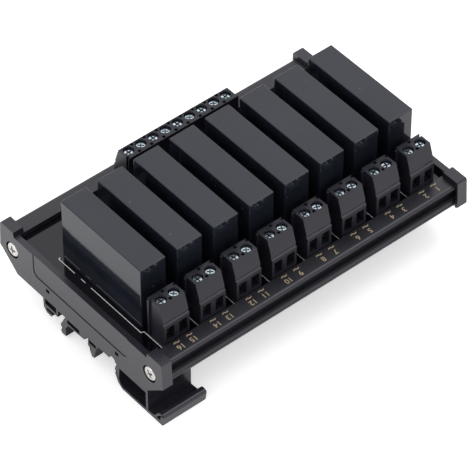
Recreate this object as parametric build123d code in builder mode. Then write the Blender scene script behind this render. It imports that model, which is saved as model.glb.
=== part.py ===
"""Eight-channel relay module board on an extruded carrier with two rail-mounting end plates.

Millimetres. +X runs along the carrier, +Y to the rear, +Z up. The origin is at
the bottom centre of the whole module.
"""

import os

from build123d import *

os.makedirs("parts", exist_ok=True)

# Driving sizes of the module.
channels = 8
channel_pitch = 14.45
pole_pitch = 5.0
rear_poles = 9
end_margin = 5.3
foot_height = 9.5
board_thickness = 1.6
board_width = 72.0
board_clearance = 0.15
rail_width = 35.0

# Extruded carrier. Drops and rises are from the board top. Its walls stand outside the
# board, the rims and the bosses cover the board's edge. A rounded lip overhangs a groove
# for marking strips along each side.
wall_reach = 2.85
rim_cover = 2.9
rim_rise = 2.2
lip_reach = 0.75
lip_round = 1.3
groove_rise = 0.1
groove_drop = 2.9
groove_depth = 1.2
floor_drop = 13.1
floor_thickness = 1.8
corner_drop = 7.1
corner_inset = 6.25
boss_cover = 4.0
boss_drop = 7.3
port_cover = 1.5
port_drop = 4.3
port_diameter = 2.6
bead_drops = (4.9, 6.1)
bead_radius = 0.4

# End plates, each moulded with its rail hooks and its sprung latch.
plate_thickness = 2.2
plate_lip = 0.6
cap_thickness = 4.0
cap_rise = 4.1
cap_step = 0.5
cap_wall = 1.0
cap_gap = 0.1
panel_half = 23.7
panel_drop = 6.9
panel_depth = 0.4
slot_width = 1.6
slot_height = 1.0
counterbore_diameter = 6.2
counterbore_depth = 1.3
plate_hole_diameter = 3.2
plate_head_diameter = 5.4
plate_cross_length = 3.0
plate_screw_length = 9.0
hook_thickness = 3.5
latch_width = 17.3
latch_wall = 1.0
latch_inset = 5.45
pull_reach = 2.25

# Relays.
relay_width = 10.0
relay_height = 25.8
relay_front_gap = 3.45
relay_rear_gap = 7.75
relay_standoff = 0.4
relay_wall = 0.9
relay_bevel = 0.35
relay_pin_offsets = (-15.2, -7.6, 7.6, 12.7)

# Screw terminals. Distances run inwards from the wire face and up from the board.
front_face_gap = 0.3
rear_face_gap = 0.1
housing_depth = 7.65
housing_height = 17.3
housing_ledge = 10.1
screw_inset = 4.45
well_diameter = 3.7
cavity_width = 3.8
cavity_length = 3.8
cavity_height = 12.9
entry_width = 3.1
entry_height = 5.2
entry_sill = 3.4
rib_inset = 6.9
rib_reach = 0.7

# Screws, clamps and solder pins of the terminals.
head_drop = 0.6
head_diameter = 3.4
head_height = 1.7
shank_diameter = 2.3
cross_length = 2.5
cross_width = 0.55
clamp_width = 3.5
clamp_bottom = 2.4
clamp_height = 7.6
pin_reach = 1.8

# Sides given to the many small round wells, heads and shanks, to keep the model light.
round_sides = 16
shank_sides = 8

overall_length = channels * channel_pitch + 2 * end_margin
half_length = overall_length / 2
profile_length = overall_length - 2 * plate_thickness

# Heights from the foot up.
plate_bottom = foot_height
floor_bottom = plate_bottom + plate_lip
floor_top = floor_bottom + floor_thickness
board_top = floor_bottom + floor_drop
rim_top = board_top + rim_rise
ledge_top = board_top - board_thickness
corner_z = board_top - corner_drop
boss_bottom = board_top - boss_drop
port_z = board_top - port_drop
groove_top = board_top + groove_rise
groove_bottom = board_top - groove_drop
cap_top = board_top + cap_rise
hook_root = plate_bottom + 0.5

# Half widths from the middle out.
board_half = board_width / 2
rail_half = rail_width / 2
boss_half = board_half - boss_cover
rim_inner = board_half - rim_cover
port_half = board_half - port_cover
profile_half = board_half + wall_reach
corner_half = profile_half - corner_inset
groove_half = profile_half - groove_depth
lip_half = profile_half + lip_reach
flange_inner = lip_half + cap_gap
cap_inner = rim_inner + cap_step
cap_outer = flange_inner + cap_wall
latch_front = profile_half - latch_inset
pull_tip = profile_half + pull_reach
front_face = rim_inner - front_face_gap
rear_face = rim_inner - rear_face_gap
relay_front = housing_depth + relay_front_gap - front_face
relay_rear = rear_face - housing_depth - relay_rear_gap
relay_length = relay_rear - relay_front
relay_y = (relay_front + relay_rear) / 2

front_screw_y = screw_inset - front_face
rear_screw_y = rear_face - screw_inset
channel_x = [channel_pitch * (i - (channels - 1) / 2) for i in range(channels)]
front_poles = [(x + side * pole_pitch / 2, front_screw_y) for x in channel_x for side in (-1, 1)]
rear_offsets = [pole_pitch * (i - (rear_poles - 1) / 2) for i in range(rear_poles)]
rear_places = [(x, rear_screw_y) for x in rear_offsets]
relay_pin_places = [(x, relay_y + offset) for x in channel_x for offset in relay_pin_offsets]


# Carrier: one extruded section. The board slides in between the ledges and the rims.
with BuildPart() as carrier_profile:
    with BuildSketch(Plane.YZ.offset(-profile_length / 2)) as section:
        with BuildLine():
            Polyline(
                (0, floor_bottom),
                (corner_half, floor_bottom),
                (profile_half, corner_z),
                (profile_half, groove_bottom),
                (groove_half, groove_bottom),
                (groove_half, groove_top),
                (lip_half, groove_top),
                (lip_half, rim_top),
                (0, rim_top),
                close=True,
            )
        make_face()
        fillet(section.vertices().sort_by(Axis.X)[-2:].sort_by(Axis.Y)[-1:], radius=lip_round)
        with Locations([(profile_half, board_top - drop) for drop in bead_drops]):
            RegularPolygon(bead_radius, shank_sides)
        # Bay between the rims, slot for the board and the hollow under it.
        with Locations((0, ledge_top)):
            Rectangle(
                2 * rim_inner,
                board_thickness + rim_rise + 1,
                align=(Align.CENTER, Align.MIN),
                mode=Mode.SUBTRACT,
            )
            Rectangle(
                board_width + 2 * board_clearance,
                board_thickness + board_clearance,
                align=(Align.CENTER, Align.MIN),
                mode=Mode.SUBTRACT,
            )
        hollow_slope = (profile_half - corner_half) / (corner_z - floor_bottom)
        hollow_corner = corner_half - 0.7
        with BuildLine():
            Polyline(
                (0, floor_top),
                (hollow_corner, floor_top),
                (hollow_corner + hollow_slope * (boss_bottom - floor_top), boss_bottom),
                (boss_half, boss_bottom),
                (boss_half, ledge_top),
                (0, ledge_top),
                close=True,
            )
        make_face(mode=Mode.SUBTRACT)
        # Screw port with a narrow slot towards the hollow.
        with Locations((port_half, port_z)):
            Circle(port_diameter / 2, mode=Mode.SUBTRACT)
        with Locations((boss_half - 0.1, port_z)):
            Rectangle(port_half - boss_half, 0.9, align=(Align.MIN, Align.CENTER), mode=Mode.SUBTRACT)
        mirror(about=Plane.YZ)
    extrude(amount=profile_length)
carrier_profile.part.label = "carrier_profile"
export_step(carrier_profile.part, "parts/carrier_profile.step")


# End plate with its hooks and latch as one moulding. The second is the same one,
# turned half round.
outer_face = Plane.YZ.offset(-half_length)
ports = [(port_half, port_z), (-port_half, port_z)]
with BuildPart() as end_plate_left:
    with BuildSketch(outer_face):
        with BuildLine():
            Polyline(
                (0, plate_bottom),
                (corner_half - 0.2, plate_bottom),
                (cap_outer - 0.85, corner_z - 0.1),
                (cap_outer + 0.3, corner_z + 0.7),
                (cap_outer - 0.3, cap_top),
                (cap_inner, cap_top),
                (cap_inner - 0.4, rim_top),
                (0, rim_top),
                close=True,
            )
        make_face()
        mirror(about=Plane.YZ)
        with Locations((1.7 - rail_half, plate_bottom)):
            Circle(1.5, mode=Mode.SUBTRACT)
    extrude(amount=plate_thickness)
    # Corner caps that lap over the carrier rims and down its outer faces.
    with BuildSketch(outer_face.offset(plate_thickness)):
        with BuildLine():
            Polyline(
                (flange_inner, corner_z + 0.2),
                (cap_outer - 0.85, corner_z - 0.1),
                (cap_outer + 0.3, corner_z + 0.7),
                (cap_outer - 0.3, cap_top),
                (cap_inner, cap_top),
                (cap_inner - 0.4, rim_top + cap_gap),
                (flange_inner, rim_top + cap_gap),
                close=True,
            )
        make_face()
        mirror(about=Plane.YZ)
    extrude(amount=cap_thickness - plate_thickness)
    cap_edges = end_plate_left.edges().filter_by(Axis.X).group_by(Axis.Z)[-1].sort_by(Axis.Y)
    chamfer([cap_edges[0], cap_edges[-1]], length=0.4)
    # Shallow panel sunk in the outer face, open at the top.
    with BuildSketch(outer_face) as panel:
        with Locations((0, board_top - panel_drop)):
            Rectangle(2 * panel_half, panel_drop + 2 * rim_rise, align=(Align.CENTER, Align.MIN))
        fillet(panel.vertices().group_by(Axis.Y)[0], radius=2.5)
    extrude(amount=panel_depth, mode=Mode.SUBTRACT)
    # Narrow slots and counterbored screw holes through the plate.
    with BuildSketch(outer_face):
        with Locations((rail_half - 1.0, plate_bottom + 4.8), (-rail_half - 0.8, plate_bottom + 4.8)):
            Rectangle(slot_width, slot_height, rotation=15)
        with Locations(ports):
            RegularPolygon(plate_hole_diameter / 2, round_sides)
    extrude(amount=plate_thickness, mode=Mode.SUBTRACT)
    with BuildSketch(outer_face):
        with Locations(ports):
            Circle(counterbore_diameter / 2)
    extrude(amount=counterbore_depth, mode=Mode.SUBTRACT)
    # Rear hook that takes the edge of the rail, the middle hook with its turned foot,
    # and the short hook nearest the latch. Each has a thin slot under the plate.
    with BuildSketch(outer_face):
        with BuildLine():
            Polyline(
                (rail_half + 1.8, hook_root),
                (rail_half + 1.5, plate_bottom - 4.1),
                (rail_half + 0.1, plate_bottom - 5.6),
                (rail_half - 2.3, plate_bottom - 5.8),
                (rail_half - 3.1, plate_bottom - 4.5),
                (rail_half, plate_bottom - 4.5),
                (rail_half, plate_bottom - 3.3),
                (rail_half - 5.7, plate_bottom - 3.1),
                (rail_half - 6.1, hook_root),
                close=True,
            )
        make_face()
        with BuildLine():
            Polyline(
                (7.9, hook_root),
                (7.9, plate_bottom),
                (10.5, plate_bottom - 5.2),
                (9.8, plate_bottom - 6.5),
                (10.4, plate_bottom - 7.7),
                (9.9, plate_bottom - 8.9),
                (7.8, plate_bottom - 8.7),
                (8.0, plate_bottom - 5.2),
                (6.4, plate_bottom - 2.8),
                (-1.6, plate_bottom - 2.4),
                (-2.4, plate_bottom - 1.6),
                (-2.9, hook_root),
                close=True,
            )
        make_face()
        with BuildLine():
            Polyline(
                (-3.7, hook_root),
                (-3.5, plate_bottom - 3.3),
                (-5.0, plate_bottom - 4.1),
                (-4.7, plate_bottom - 5.6),
                (-5.5, plate_bottom - 7.0),
                (-6.6, plate_bottom - 6.9),
                (-7.4, plate_bottom - 2.7),
                (-9.0, hook_root),
                close=True,
            )
        make_face()
        with Locations((rail_half - 2.4, plate_bottom - 1.0), (4.0, plate_bottom - 1.1)):
            Rectangle(5.2, 1.2, mode=Mode.SUBTRACT)
        with Locations((-5.3, plate_bottom - 1.2)):
            Rectangle(2.4, 1.2, mode=Mode.SUBTRACT)
    extrude(amount=hook_thickness)
    # Latch body with its nose under the rail and an upturned pull at the front.
    with BuildSketch(outer_face):
        with BuildLine():
            Polyline(
                (-rail_half - 0.7, hook_root),
                (0.5 - rail_half, plate_bottom - 2.9),
                (-rail_half - 0.3, plate_bottom - 3.6),
                (0.5 - rail_half, plate_bottom - 4.7),
                (0.1 - rail_half, plate_bottom - 5.5),
                (-rail_half - 1.2, 1.4),
                (-rail_half - 3.1, 0),
                (0.6 - pull_tip, 0),
                (-pull_tip, 3.9),
                (0.5 - pull_tip, 4.7),
                (2.3 - pull_tip, 4.6),
                (4.7 - pull_tip, latch_wall + 0.5),
                (-latch_front, latch_wall + 0.2),
                (-latch_front, hook_root),
                close=True,
            )
        make_face()
    extrude(amount=latch_width)
    # The latch is hollow, open at its outer end, and so is the pull.
    with BuildSketch(outer_face):
        with BuildLine():
            Polyline(
                (-rail_half - 1.9, plate_bottom - 0.9),
                (-rail_half - 1.5, plate_bottom - 5.5),
                (-rail_half - 2.4, 1.7),
                (-rail_half - 3.5, latch_wall),
                (latch_wall - latch_front, latch_wall),
                (latch_wall - latch_front, plate_bottom - 0.9),
                close=True,
            )
        make_face()
    extrude(amount=latch_width - latch_wall, mode=Mode.SUBTRACT)
    with BuildSketch(outer_face):
        with BuildLine():
            Polyline(
                (3.7 - pull_tip, 1.6),
                (1.7 - pull_tip, 1.6),
                (1.4 - pull_tip, 3.6),
                (2.0 - pull_tip, 3.6),
                close=True,
            )
        make_face()
    extrude(amount=hook_thickness - 0.5, mode=Mode.SUBTRACT)
end_plate_left.part.label = "end_plate_left"
export_step(end_plate_left.part, "parts/end_plate_left.step")

with BuildPart() as end_plate_right:
    add(end_plate_left.part.rotate(Axis.Z, 180))
end_plate_right.part.label = "end_plate_right"
export_step(end_plate_right.part, "parts/end_plate_right.step")


# Pan-head cross-recess screws that hold the plates to the carrier ports.
head_seat = outer_face.offset(counterbore_depth)
with BuildPart() as plate_screws_left:
    with BuildSketch(head_seat):
        with Locations(ports):
            Circle(plate_head_diameter / 2)
    extrude(amount=-counterbore_depth)
    with BuildSketch(outer_face):
        with Locations(ports):
            Rectangle(plate_cross_length, cross_width)
            Rectangle(cross_width, plate_cross_length)
    extrude(amount=0.9, mode=Mode.SUBTRACT)
    with BuildSketch(head_seat):
        with Locations(ports):
            RegularPolygon(port_diameter / 2 - 0.05, shank_sides)
    extrude(amount=plate_screw_length)
plate_screws_left.part.label = "plate_screws_left"
export_step(plate_screws_left.part, "parts/plate_screws_left.step")

with BuildPart() as plate_screws_right:
    add(plate_screws_left.part.rotate(Axis.Z, 180))
plate_screws_right.part.label = "plate_screws_right"
export_step(plate_screws_right.part, "parts/plate_screws_right.step")


# Circuit board, drilled for every pin.
with BuildPart() as circuit_board:
    with BuildSketch(Plane.XY.offset(ledge_top)):
        Rectangle(profile_length - 0.2, board_width)
        with Locations(relay_pin_places + front_poles + rear_places):
            Rectangle(1.1, 1.1, mode=Mode.SUBTRACT)
    extrude(amount=board_thickness)
circuit_board.part.label = "circuit_board"
export_step(circuit_board.part, "parts/circuit_board.step")


# Relays: each a plain case open at the bottom on four small feet, filled with potting.
case_bottom = board_top + relay_standoff
case_height = relay_height - relay_standoff
core_width = relay_width - 2 * relay_wall
core_length = relay_length - 2 * relay_wall
potting_bottom = case_bottom + 0.5
for number, x in enumerate(channel_x, start=1):
    with BuildPart() as relay:
        with BuildSketch(Plane((x, relay_y, case_bottom))):
            Rectangle(relay_width, relay_length)
        extrude(amount=case_height)
        edges = relay.edges().filter_by(Axis.Z) + relay.faces().sort_by(Axis.Z)[-1].edges()
        chamfer(edges, length=relay_bevel)
        with BuildSketch(Plane((x, relay_y, case_bottom))):
            Rectangle(core_width, core_length)
        extrude(amount=case_height - relay_wall, mode=Mode.SUBTRACT)
        with BuildSketch(Plane((x, relay_y, board_top))):
            with GridLocations(core_width + 0.1, core_length + 0.1, 2, 2):
                Rectangle(0.8, 0.8)
        extrude(amount=relay_standoff)
    relay.part.label = "relay_" + str(number)
    export_step(relay.part, "parts/relay_" + str(number) + ".step")

with BuildPart() as relay_potting:
    with BuildSketch(Plane.XY.offset(potting_bottom)):
        with Locations([(x, relay_y) for x in channel_x]):
            Rectangle(core_width, core_length)
    extrude(amount=board_top + relay_height - relay_wall - potting_bottom)
relay_potting.part.label = "relay_potting"
export_step(relay_potting.part, "parts/relay_potting.step")

with BuildPart() as relay_pins:
    with BuildSketch(Plane.XY.offset(ledge_top - pin_reach)):
        with Locations(relay_pin_places):
            Rectangle(0.9, 0.7)
    extrude(amount=potting_bottom - ledge_top + pin_reach)
relay_pins.part.label = "relay_pins"
export_step(relay_pins.part, "parts/relay_pins.step")


def terminal_housing(offsets):
    """A screw terminal with one pole at each offset, its wire face in the XZ plane."""
    half = (offsets[-1] - offsets[0] + pole_pitch) / 2
    wells = [(x, screw_inset) for x in offsets]
    between = [(a + b) / 2 for a, b in zip(offsets, offsets[1:])]
    with BuildPart() as housing:
        with BuildSketch(Plane.YZ.offset(-half)):
            with BuildLine():
                Polyline(
                    (0, 0),
                    (0, housing_ledge),
                    (0.6, housing_ledge + 0.3),
                    (0.6, housing_ledge + 1.8),
                    (2.35, housing_height),
                    (housing_depth, housing_height),
                    (housing_depth, 0),
                    close=True,
                )
            make_face()
        extrude(amount=2 * half)
        # Joining rib on one side and its groove on the other.
        with BuildSketch(Plane((-half, rib_inset, 1.5))):
            Rectangle(2 * rib_reach, 0.8)
        extrude(amount=housing_height - 1.9)
        with BuildSketch(Plane((half, rib_inset, 0))):
            Rectangle(2 * rib_reach + 0.2, 0.95)
        extrude(amount=housing_height, mode=Mode.SUBTRACT)
        # Screw wells down to the clamp cavities, which are open at the bottom.
        with BuildSketch(Plane.XY.offset(cavity_height)):
            with Locations(wells):
                RegularPolygon(well_diameter / 2, round_sides)
        extrude(amount=housing_height - cavity_height, mode=Mode.SUBTRACT)
        with BuildSketch(Plane.XY):
            with Locations(wells):
                Rectangle(cavity_width, cavity_length)
        extrude(amount=cavity_height, mode=Mode.SUBTRACT)
        # Wire entries, and small square recesses in the top between the poles.
        with BuildSketch(Plane.XZ):
            with Locations([(x, entry_sill + entry_height / 2) for x in offsets]):
                Rectangle(entry_width, entry_height)
        extrude(amount=-screw_inset, mode=Mode.SUBTRACT)
        with BuildSketch(Plane.XY.offset(housing_height)):
            with Locations([(x, y) for x in between for y in (3.0, 6.9)]):
                Rectangle(1.0, 1.0)
        extrude(amount=-1.5, mode=Mode.SUBTRACT)
    return housing.part


# Front terminals: eight two-pole blocks. Rear terminal: one strip, facing the other way.
two_pole = terminal_housing([-pole_pitch / 2, pole_pitch / 2])
for number, x in enumerate(channel_x, start=1):
    with BuildPart() as front_terminal:
        add(two_pole.moved(Location((x, -front_face, board_top))))
    front_terminal.part.label = "front_terminal_" + str(number)
    export_step(front_terminal.part, "parts/front_terminal_" + str(number) + ".step")

strip = terminal_housing(rear_offsets).rotate(Axis.Z, 180)
with BuildPart() as rear_terminal:
    add(strip.moved(Location((0, rear_face, board_top))))
rear_terminal.part.label = "rear_terminal_strip"
export_step(rear_terminal.part, "parts/rear_terminal_strip.step")


# The metal of one pole, then a copy of it in every well.
head_bottom = board_top + housing_height - head_drop - head_height
clamp_z = board_top + clamp_bottom
clamp_top = clamp_z + clamp_height
with BuildPart() as screw:
    with BuildSketch(Plane.XY.offset(head_bottom)):
        RegularPolygon(head_diameter / 2, round_sides)
    extrude(amount=head_height)
    with BuildSketch(Plane.XY.offset(head_bottom + head_height)):
        Rectangle(cross_length, cross_width)
        Rectangle(cross_width, cross_length)
    extrude(amount=-0.8, mode=Mode.SUBTRACT)
    with BuildSketch(Plane.XY.offset(head_bottom)):
        RegularPolygon(shank_diameter / 2, shank_sides)
    extrude(amount=clamp_top - head_bottom)

with BuildPart() as clamp:
    with BuildSketch(Plane.XY.offset(clamp_z)):
        Rectangle(clamp_width, clamp_width)
    extrude(amount=clamp_height)
    with BuildSketch(Plane.XZ.offset(-clamp_width)):
        with Locations((0, clamp_z + 3.3)):
            Rectangle(clamp_width - 1.0, 4.8)
    extrude(amount=2 * clamp_width, mode=Mode.SUBTRACT)

with BuildPart() as pin:
    with BuildSketch(Plane.XY.offset(clamp_z)):
        Rectangle(clamp_width, clamp_width)
    extrude(amount=-0.8)
    with BuildSketch(Plane.XY.offset(ledge_top - pin_reach)):
        Rectangle(0.9, 0.9)
    extrude(amount=clamp_z - 0.8 - ledge_top + pin_reach)

for kind, piece in (("screws", screw), ("clamps", clamp), ("pins", pin)):
    for side, places in (("front", front_poles), ("rear", rear_places)):
        with BuildPart() as metal:
            with Locations(places):
                add(piece.part)
        metal.part.label = side + "_terminal_" + kind
        export_step(metal.part, "parts/" + side + "_terminal_" + kind + ".step")
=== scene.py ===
"""Relay module board: the finished looks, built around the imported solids.

Metres, in the frame of the solids: +X along the carrier, +Y to the rear, +Z up.
Sizes in the classes are millimetres and are turned into metres by MM.
"""

import logging
import math
from collections.abc import Callable, Iterator
from contextlib import contextmanager
from dataclasses import dataclass, field
from enum import Enum
from itertools import product

import bmesh
import bpy
from mathutils import Matrix, Vector


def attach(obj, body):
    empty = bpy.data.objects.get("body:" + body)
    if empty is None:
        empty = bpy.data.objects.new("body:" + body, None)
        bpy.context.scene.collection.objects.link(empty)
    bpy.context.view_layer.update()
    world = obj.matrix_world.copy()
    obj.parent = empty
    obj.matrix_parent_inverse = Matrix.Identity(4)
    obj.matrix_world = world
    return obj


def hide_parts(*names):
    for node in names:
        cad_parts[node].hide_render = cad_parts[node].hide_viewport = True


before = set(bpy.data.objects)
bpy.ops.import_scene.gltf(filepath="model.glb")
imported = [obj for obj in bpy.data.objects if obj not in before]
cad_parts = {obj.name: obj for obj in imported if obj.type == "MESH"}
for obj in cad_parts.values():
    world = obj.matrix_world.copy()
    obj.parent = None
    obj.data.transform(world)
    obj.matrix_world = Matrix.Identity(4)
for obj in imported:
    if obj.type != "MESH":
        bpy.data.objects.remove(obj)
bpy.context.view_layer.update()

MM = 0.001
BODY = "root"
# In millimetres: how near a place counts as on a level, how far cutters overshoot.
NEAR = 0.1
OVERCUT = 1.0
# Length along an axis above which a unit direction counts as pointing along it.
ALONG = 0.9
# Doubles nearer than this many millimetres are merged, and faces that meet flatter
# than this many degrees become one.
WELD = 0.002
FLAT = 0.6
LOG = logging.getLogger("relay_module_board")

Colour = tuple[float, float, float]
Point = tuple[float, float, float]
Test = Callable[[Vector, Vector], bool]
Source = bpy.types.NodeSocket | Colour | float


class Kind(Enum):
    """What a selection in edit mode picks."""

    VERTEX = "VERT"
    EDGE = "EDGE"
    FACE = "FACE"


class Side(Enum):
    """An end of the carrier, with its direction along X."""

    LEFT = -1
    RIGHT = 1


# ---------------------------------------------------------------- modelling by hand


def start_fresh() -> None:
    """Leaves edit mode and deselects every object."""
    active = bpy.context.view_layer.objects.active
    if active is not None and active.mode != "OBJECT":
        bpy.ops.object.mode_set(mode="OBJECT")
    bpy.ops.object.select_all(action="DESELECT")


def make_active(piece: bpy.types.Object) -> None:
    """Selects one piece alone and makes it the active one.

    Args:
        piece: The object to work on.
    """
    start_fresh()
    piece.select_set(True)
    bpy.context.view_layer.objects.active = piece


def settle(piece: bpy.types.Object) -> None:
    """Moves a piece's place, turn and scale into its mesh.

    Args:
        piece: The object to settle.
    """
    make_active(piece)
    bpy.ops.object.transform_apply(location=True, rotation=True, scale=True)


def add_block(name: str, low: Point, high: Point) -> bpy.types.Object:
    """Adds a block between two corners.

    Args:
        name: Name of the new object.
        low: Lowest corner in millimetres.
        high: Highest corner in millimetres.

    Returns:
        The new object, settled at the origin.
    """
    start_fresh()
    centre = [(a + b) / 2 * MM for a, b in zip(low, high)]
    bpy.ops.mesh.primitive_cube_add(
        size=1, location=centre, scale=[(b - a) * MM for a, b in zip(low, high)]
    )
    piece = bpy.context.object
    piece.name = name
    settle(piece)
    return piece


def add_rod(
    name: str, foot: Point, radius: float, height: float, sides: int = 32
) -> bpy.types.Object:
    """Adds an upright rod.

    Args:
        name: Name of the new object.
        foot: Centre of its lower face in millimetres.
        radius: Radius in millimetres.
        height: Height in millimetres.
        sides: Number of sides.

    Returns:
        The new object, settled at the origin.
    """
    start_fresh()
    bpy.ops.mesh.primitive_cylinder_add(
        vertices=sides,
        radius=radius * MM,
        depth=height * MM,
        location=(foot[0] * MM, foot[1] * MM, (foot[2] + height / 2) * MM),
    )
    piece = bpy.context.object
    piece.name = name
    settle(piece)
    return piece


@contextmanager
def editing(piece: bpy.types.Object, kind: Kind) -> Iterator[None]:
    """Opens a piece in edit mode with everything deselected.

    Args:
        piece: The object to edit.
        kind: What is being selected.

    Yields:
        Nothing; the piece is open while the block runs.
    """
    make_active(piece)
    bpy.ops.object.mode_set(mode="EDIT")
    bpy.ops.mesh.select_mode(type=kind.value)
    bpy.ops.mesh.select_all(action="DESELECT")
    yield
    bpy.ops.object.mode_set(mode="OBJECT")


def pick(piece: bpy.types.Object, kind: Kind, test: Test) -> int:
    """Selects the vertices, edges or faces of an open piece that pass a test.

    Args:
        piece: The object, already in edit mode.
        kind: What to select.
        test: Called with the centre in millimetres and the normal or edge direction.

    Returns:
        How many were selected.
    """
    shape = bmesh.from_edit_mesh(piece.data)
    chosen = 0
    if kind is Kind.FACE:
        for face in shape.faces:
            face.select_set(test(face.calc_center_median() / MM, face.normal))
            chosen += face.select
    elif kind is Kind.EDGE:
        for edge in shape.edges:
            start, end = (vertex.co for vertex in edge.verts)
            run = (end - start).normalized()
            edge.select_set(test((start + end) / 2 / MM, run))
            chosen += edge.select
    else:
        for vertex in shape.verts:
            vertex.select_set(test(vertex.co / MM, vertex.normal))
            chosen += vertex.select
    bmesh.update_edit_mesh(piece.data)
    return chosen


def apply_modifier(piece: bpy.types.Object, kind: str, **settings: object) -> None:
    """Adds a modifier and applies it.

    Args:
        piece: The object to change.
        kind: Type of the modifier.
        **settings: Its settings by name.
    """
    make_active(piece)
    modifier = piece.modifiers.new(kind.lower(), kind)
    for name, value in settings.items():
        setattr(modifier, name, value)
    bpy.ops.object.modifier_apply(modifier=modifier.name)


def join_all(pieces: list[bpy.types.Object], name: str) -> bpy.types.Object:
    """Joins pieces into one object.

    Args:
        pieces: The objects to join.
        name: Name of the result.

    Returns:
        The joined object.
    """
    make_active(pieces[0])
    for piece in pieces[1:]:
        piece.select_set(True)
    if len(pieces) > 1:
        bpy.ops.object.join()
    pieces[0].name = name
    return pieces[0]


def cut(piece: bpy.types.Object, cutters: list[bpy.types.Object]) -> None:
    """Cuts blocks and rods out of a piece, then throws them away.

    Args:
        piece: The object to cut.
        cutters: The objects to take away from it.
    """
    for cutter in cutters:
        apply_modifier(piece, "BOOLEAN", object=cutter, operation="DIFFERENCE", solver="EXACT")
        bpy.data.objects.remove(cutter)


def fuse(piece: bpy.types.Object, additions: list[bpy.types.Object]) -> None:
    """Fuses blocks and rods into a piece, then throws them away.

    Args:
        piece: The object to add to.
        additions: The objects to fuse into it.
    """
    for addition in additions:
        apply_modifier(piece, "BOOLEAN", object=addition, operation="UNION", solver="EXACT")
        bpy.data.objects.remove(addition)


def shade(piece: bpy.types.Object, angle: float = 32.0) -> None:
    """Shades a piece smooth except across sharp edges, its large faces kept flat.

    Args:
        piece: The object to shade.
        angle: Edges sharper than this many degrees stay sharp.
    """
    make_active(piece)
    bpy.ops.object.shade_smooth_by_angle(angle=math.radians(angle))
    apply_modifier(piece, "WEIGHTED_NORMAL", mode="FACE_AREA", weight=90, keep_sharp=True)


def soften(piece: bpy.types.Object, radius: float, steps: int = 2, angle: float = 34.0) -> None:
    """Rounds a moulding's edges and shades it.

    Args:
        piece: The object to round.
        radius: Radius of the edges in millimetres.
        steps: Facets across each rounded edge.
        angle: Edges flatter than this many degrees are left alone.
    """
    apply_modifier(
        piece,
        "BEVEL",
        width=radius * MM,
        segments=steps,
        limit_method="ANGLE",
        angle_limit=math.radians(angle),
        use_clamp_overlap=True,
        miter_outer="MITER_ARC",
    )
    shade(piece)


def twin(
    piece: bpy.types.Object, name: str, move: Point = (0, 0, 0), turn: float = 0.0
) -> bpy.types.Object:
    """Copies a piece with its own mesh.

    Args:
        piece: The object to copy.
        name: Name of the copy.
        move: How far the copy is moved, in millimetres.
        turn: Turn about Z in degrees, made before the move.

    Returns:
        The copy, its place in its mesh.
    """
    copy = bpy.data.objects.new(name, piece.data.copy())
    place = Matrix.Translation(Vector(move) * MM) @ Matrix.Rotation(math.radians(turn), 4, "Z")
    copy.data.transform(place)
    bpy.context.scene.collection.objects.link(copy)
    return copy


def remove(piece: bpy.types.Object) -> None:
    """Throws a piece away."""
    bpy.data.objects.remove(piece)


def skin_of(node: str, name: str) -> bpy.types.Object:
    """Copies a solid as a clean shell that can be rounded.

    Args:
        node: Name of the solid.
        name: Name of the new piece.

    Returns:
        The new piece, with its triangles joined into plain faces.
    """
    piece = bpy.data.objects.new(name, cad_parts[node].data.copy())
    bpy.context.scene.collection.objects.link(piece)
    make_active(piece)
    bpy.ops.mesh.customdata_custom_splitnormals_clear()
    with editing(piece, Kind.VERTEX):
        bpy.ops.mesh.select_all(action="SELECT")
        bpy.ops.mesh.remove_doubles(threshold=WELD * MM)
        bpy.ops.mesh.dissolve_limited(angle_limit=math.radians(FLAT))
    piece.data.materials.clear()
    return piece


# ---------------------------------------------------------------- finishes


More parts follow.
